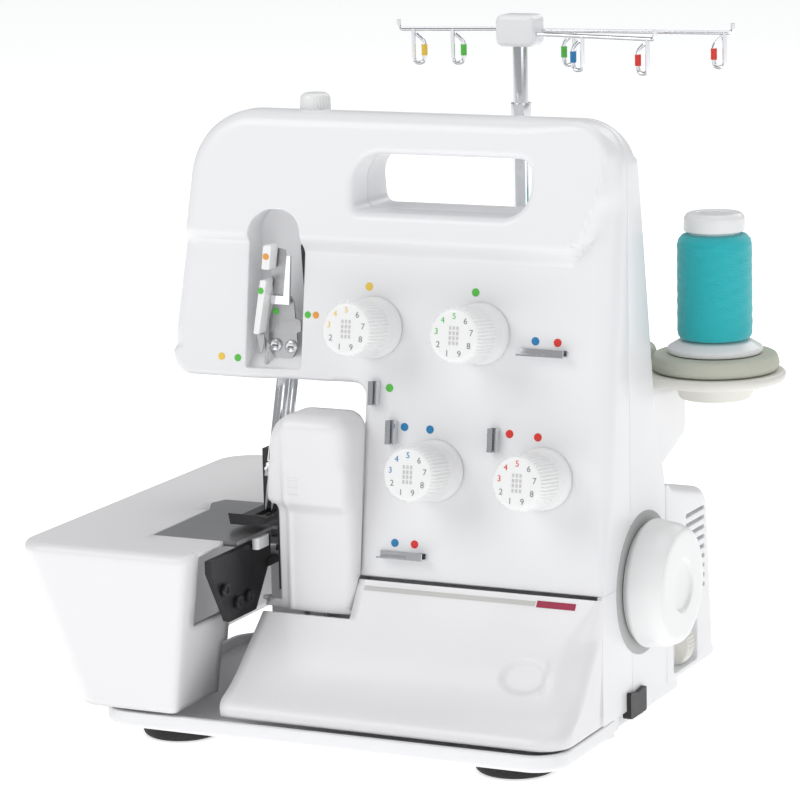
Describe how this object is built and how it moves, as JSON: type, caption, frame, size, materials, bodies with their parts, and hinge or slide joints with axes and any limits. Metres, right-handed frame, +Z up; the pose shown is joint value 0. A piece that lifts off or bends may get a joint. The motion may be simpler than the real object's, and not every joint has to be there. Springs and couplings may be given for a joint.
{
  "type": "overlock sewing machine",
  "caption": "Free-standing overlock sewing machine with tension dials, a folding looper cover, a handwheel and a spool stand.",
  "frame": {"origin": "middle of the bounding box's footprint, on the surface the rubber feet stand on", "axes": "+X to the user's right (handwheel side), +Y to the back (spool stand side), +Z up"},
  "size_m": [0.3134, 0.217, 0.327],
  "materials": {
    "shell_white": "gloss white moulded plastic",
    "cream_plastic": "satin cream plastic",
    "dial_white": "satin white plastic with printed numbers",
    "black_plastic": "matt black plastic",
    "pad_grey": "soft grey-green foam",
    "foot_rubber": "matt black rubber",
    "bright_steel": "polished",
    "ground_steel": "ground",
    "dark_steel": "blackened steel",
    "cast_alloy": "as cast",
    "turquoise_thread": "wound polyester thread"
  },
  "bodies": {
    "machine": {"front_cover": "shell_white", "rear_cover": "shell_white", "motor_cover": "shell_white", "base_tray": "shell_white", "foot_front_left": "foot_rubber", "foot_front_right": "foot_rubber", "foot_rear_left": "foot_rubber", "foot_rear_right": "foot_rubber", "inner_frame": "cast_alloy", "bed_cover": "shell_white", "stitch_plate": "ground_steel", "knife_bracket": "dark_steel", "shaft_bearing": "ground_steel", "motor": "ground_steel", "drive_belt": "foot_rubber", "thread_bracket": "ground_steel", "panel_guide_1": "bright_steel", "panel_guide_2": "bright_steel", "panel_guide_3": "bright_steel", "panel_guide_4": "bright_steel", "panel_guide_5": "bright_steel", "power_inlet": "black_plastic", "spool_tray": "cream_plastic", "spool_pad_1": "pad_grey", "spool_pad_2": "pad_grey", "spool_pad_3": "pad_grey", "spool_pad_4": "pad_grey", "stand_bracket": "shell_white", "pole_lower": "bright_steel"},
    "drive_shaft": {"main_shaft": "ground_steel", "shaft_pulley": "black_plastic", "handwheel": "dial_white"},
    "motor_spindle": {"motor_pulley": "black_plastic"},
    "needle_drive": {"needle_bar": "bright_steel", "needle_clamp": "ground_steel"},
    "presser": {"presser_bar": "bright_steel", "presser_foot": "dark_steel"},
    "lifter": {"presser_lifter": "black_plastic"},
    "pressure": {"pressure_knob": "dial_white"},
    "take_up": {"take_up_lever": "bright_steel"},
    "upper_looper_arm": {"upper_looper": "bright_steel"},
    "lower_looper_arm": {"lower_looper": "bright_steel"},
    "cutter": {"upper_knife": "dark_steel"},
    "feed": {"feed_dog": "ground_steel"},
    "finger_knob": {"stitch_finger_knob": "shell_white"},
    "left_needle_dial": {"tension_dial_left_needle": "dial_white"},
    "right_needle_dial": {"tension_dial_right_needle": "dial_white"},
    "upper_looper_dial": {"tension_dial_upper_looper": "dial_white"},
    "lower_looper_dial": {"tension_dial_lower_looper": "dial_white"},
    "cover_carrier": {"cover_hinge_bar": "ground_steel"},
    "cover_door": {"looper_cover": "shell_white", "cover_guard": "shell_white"},
    "cloth_table": {"cloth_plate": "shell_white"},
    "mains_switch": {"power_switch": "black_plastic"},
    "length_dial": {"stitch_length_dial": "cream_plastic"},
    "pole_top": {"pole_upper": "bright_steel"},
    "guide_arms": {"guide_head": "shell_white", "guide_wires": "bright_steel"},
    "cone": {"spool_core": "shell_white", "thread": "turquoise_thread"}
  },
  "joints": [
    {"name": "handwheel_turn", "type": "hinge", "parent": "machine", "child": "drive_shaft", "pos_m": [0.1101, 0.007, 0.0723], "axis": [1, 0, 0], "continuous": true},
    {"name": "motor_turn", "type": "hinge", "parent": "machine", "child": "motor_spindle", "pos_m": [0.0861, 0.0665, 0.05], "axis": [1, 0, 0], "continuous": true},
    {"name": "needle_stroke", "type": "slide", "parent": "machine", "child": "needle_drive", "axis": [0, -0.2961, -0.9552], "range_m": [-0.01, 0.014]},
    {"name": "take_up_swing", "type": "hinge", "parent": "machine", "child": "take_up", "pos_m": [-0.0594, -0.0265, 0.201], "axis": [0, 1, 0], "range_deg": [-6, 8]},
    {"name": "upper_looper_swing", "type": "hinge", "parent": "machine", "child": "upper_looper_arm", "pos_m": [-0.0409, -0.0395, 0.042], "axis": [0, 1, 0], "range_deg": [-6, 8]},
    {"name": "lower_looper_swing", "type": "hinge", "parent": "machine", "child": "lower_looper_arm", "pos_m": [-0.0329, -0.0335, 0.038], "axis": [0, 1, 0], "range_deg": [-6, 8]},
    {"name": "knife_stroke", "type": "slide", "parent": "machine", "child": "cutter", "axis": [0, 0, -1], "range_m": [-0.005, 0.006]},
    {"name": "feed_stroke", "type": "slide", "parent": "machine", "child": "feed", "axis": [0, 1, 0], "range_m": [-0.0012, 0.0016]},
    {"name": "presser_lift", "type": "slide", "parent": "machine", "child": "presser", "axis": [0, 0.2961, 0.9552], "range_m": [0, 0.006]},
    {"name": "lifter_swing", "type": "hinge", "parent": "machine", "child": "lifter", "pos_m": [-0.0389, 0.0185, 0.178], "axis": [1, 0, 0], "range_deg": [0, 30]},
    {"name": "pressure_knob_turn", "type": "hinge", "parent": "machine", "child": "pressure", "pos_m": [-0.0479, -0.0035, 0.285], "axis": [0, 0, 1], "range_deg": [-170, 170]},
    {"name": "left_needle_dial_turn", "type": "hinge", "parent": "machine", "child": "left_needle_dial", "pos_m": [-0.0084, -0.02688, 0.1904], "axis": [0, -0.9903, 0.1386], "range_deg": [-130, 150]},
    {"name": "right_needle_dial_turn", "type": "hinge", "parent": "machine", "child": "right_needle_dial", "pos_m": [0.0454, -0.02688, 0.1904], "axis": [0, -0.9903, 0.1386], "range_deg": [-130, 150]},
    {"name": "upper_looper_dial_turn", "type": "hinge", "parent": "machine", "child": "upper_looper_dial", "pos_m": [0.0252, -0.03573, 0.1272], "axis": [0, -0.9903, 0.1386], "range_deg": [-130, 150]},
    {"name": "lower_looper_dial_turn", "type": "hinge", "parent": "machine", "child": "lower_looper_dial", "pos_m": [0.079, -0.03573, 0.1272], "axis": [0, -0.9903, 0.1386], "range_deg": [-130, 150]},
    {"name": "cover_slide", "type": "slide", "parent": "machine", "child": "cover_carrier", "axis": [1, 0, 0], "range_m": [0, 0.008]},
    {"name": "cover_fold", "type": "hinge", "parent": "cover_carrier", "child": "cover_door", "pos_m": [-0.0089, -0.0911, 0.0184], "axis": [1, 0, 0], "range_deg": [0, 90]},
    {"name": "cloth_plate_slide", "type": "slide", "parent": "machine", "child": "cloth_table", "axis": [-1, 0, 0], "range_m": [0, 0.025]},
    {"name": "power_switch_rock", "type": "hinge", "parent": "machine", "child": "mains_switch", "pos_m": [0.1097, -0.006, 0.0185], "axis": [0, 0, 1], "range_deg": [0, 10]},
    {"name": "stitch_length_turn", "type": "hinge", "parent": "machine", "child": "length_dial", "pos_m": [0.0996, 0.063, 0.0292], "axis": [0, 1, 0], "range_deg": [-150, 150]},
    {"name": "stitch_finger_slide", "type": "slide", "parent": "machine", "child": "finger_knob", "axis": [0, -1, 0], "range_m": [0, 0.006]},
    {"name": "pole_extend", "type": "slide", "parent": "machine", "child": "pole_top", "axis": [0, 0, 1], "range_m": [0, 0.11]},
    {"name": "guide_swivel", "type": "hinge", "parent": "pole_top", "child": "guide_arms", "pos_m": [0.0265, 0.0645, 0.32], "axis": [0, 0, 1], "range_deg": [-90, 90]},
    {"name": "spool_turn", "type": "hinge", "parent": "machine", "child": "cone", "pos_m": [0.1237, 0.0645, 0.2], "axis": [0, 0, 1], "continuous": true}
  ],
  "couplings": [
    {"joint": "motor_turn", "follows": "handwheel_turn", "ratio": 2.42},
    {"joint": "upper_looper_swing", "follows": "needle_stroke", "rad_per_m": 8},
    {"joint": "lower_looper_swing", "follows": "needle_stroke", "rad_per_m": 8},
    {"joint": "take_up_swing", "follows": "needle_stroke", "rad_per_m": 6},
    {"joint": "knife_stroke", "follows": "needle_stroke", "ratio": 0.4},
    {"joint": "feed_stroke", "follows": "needle_stroke", "ratio": 0.1},
    {"joint": "lifter_swing", "follows": "presser_lift", "rad_per_m": 80}
  ]
}
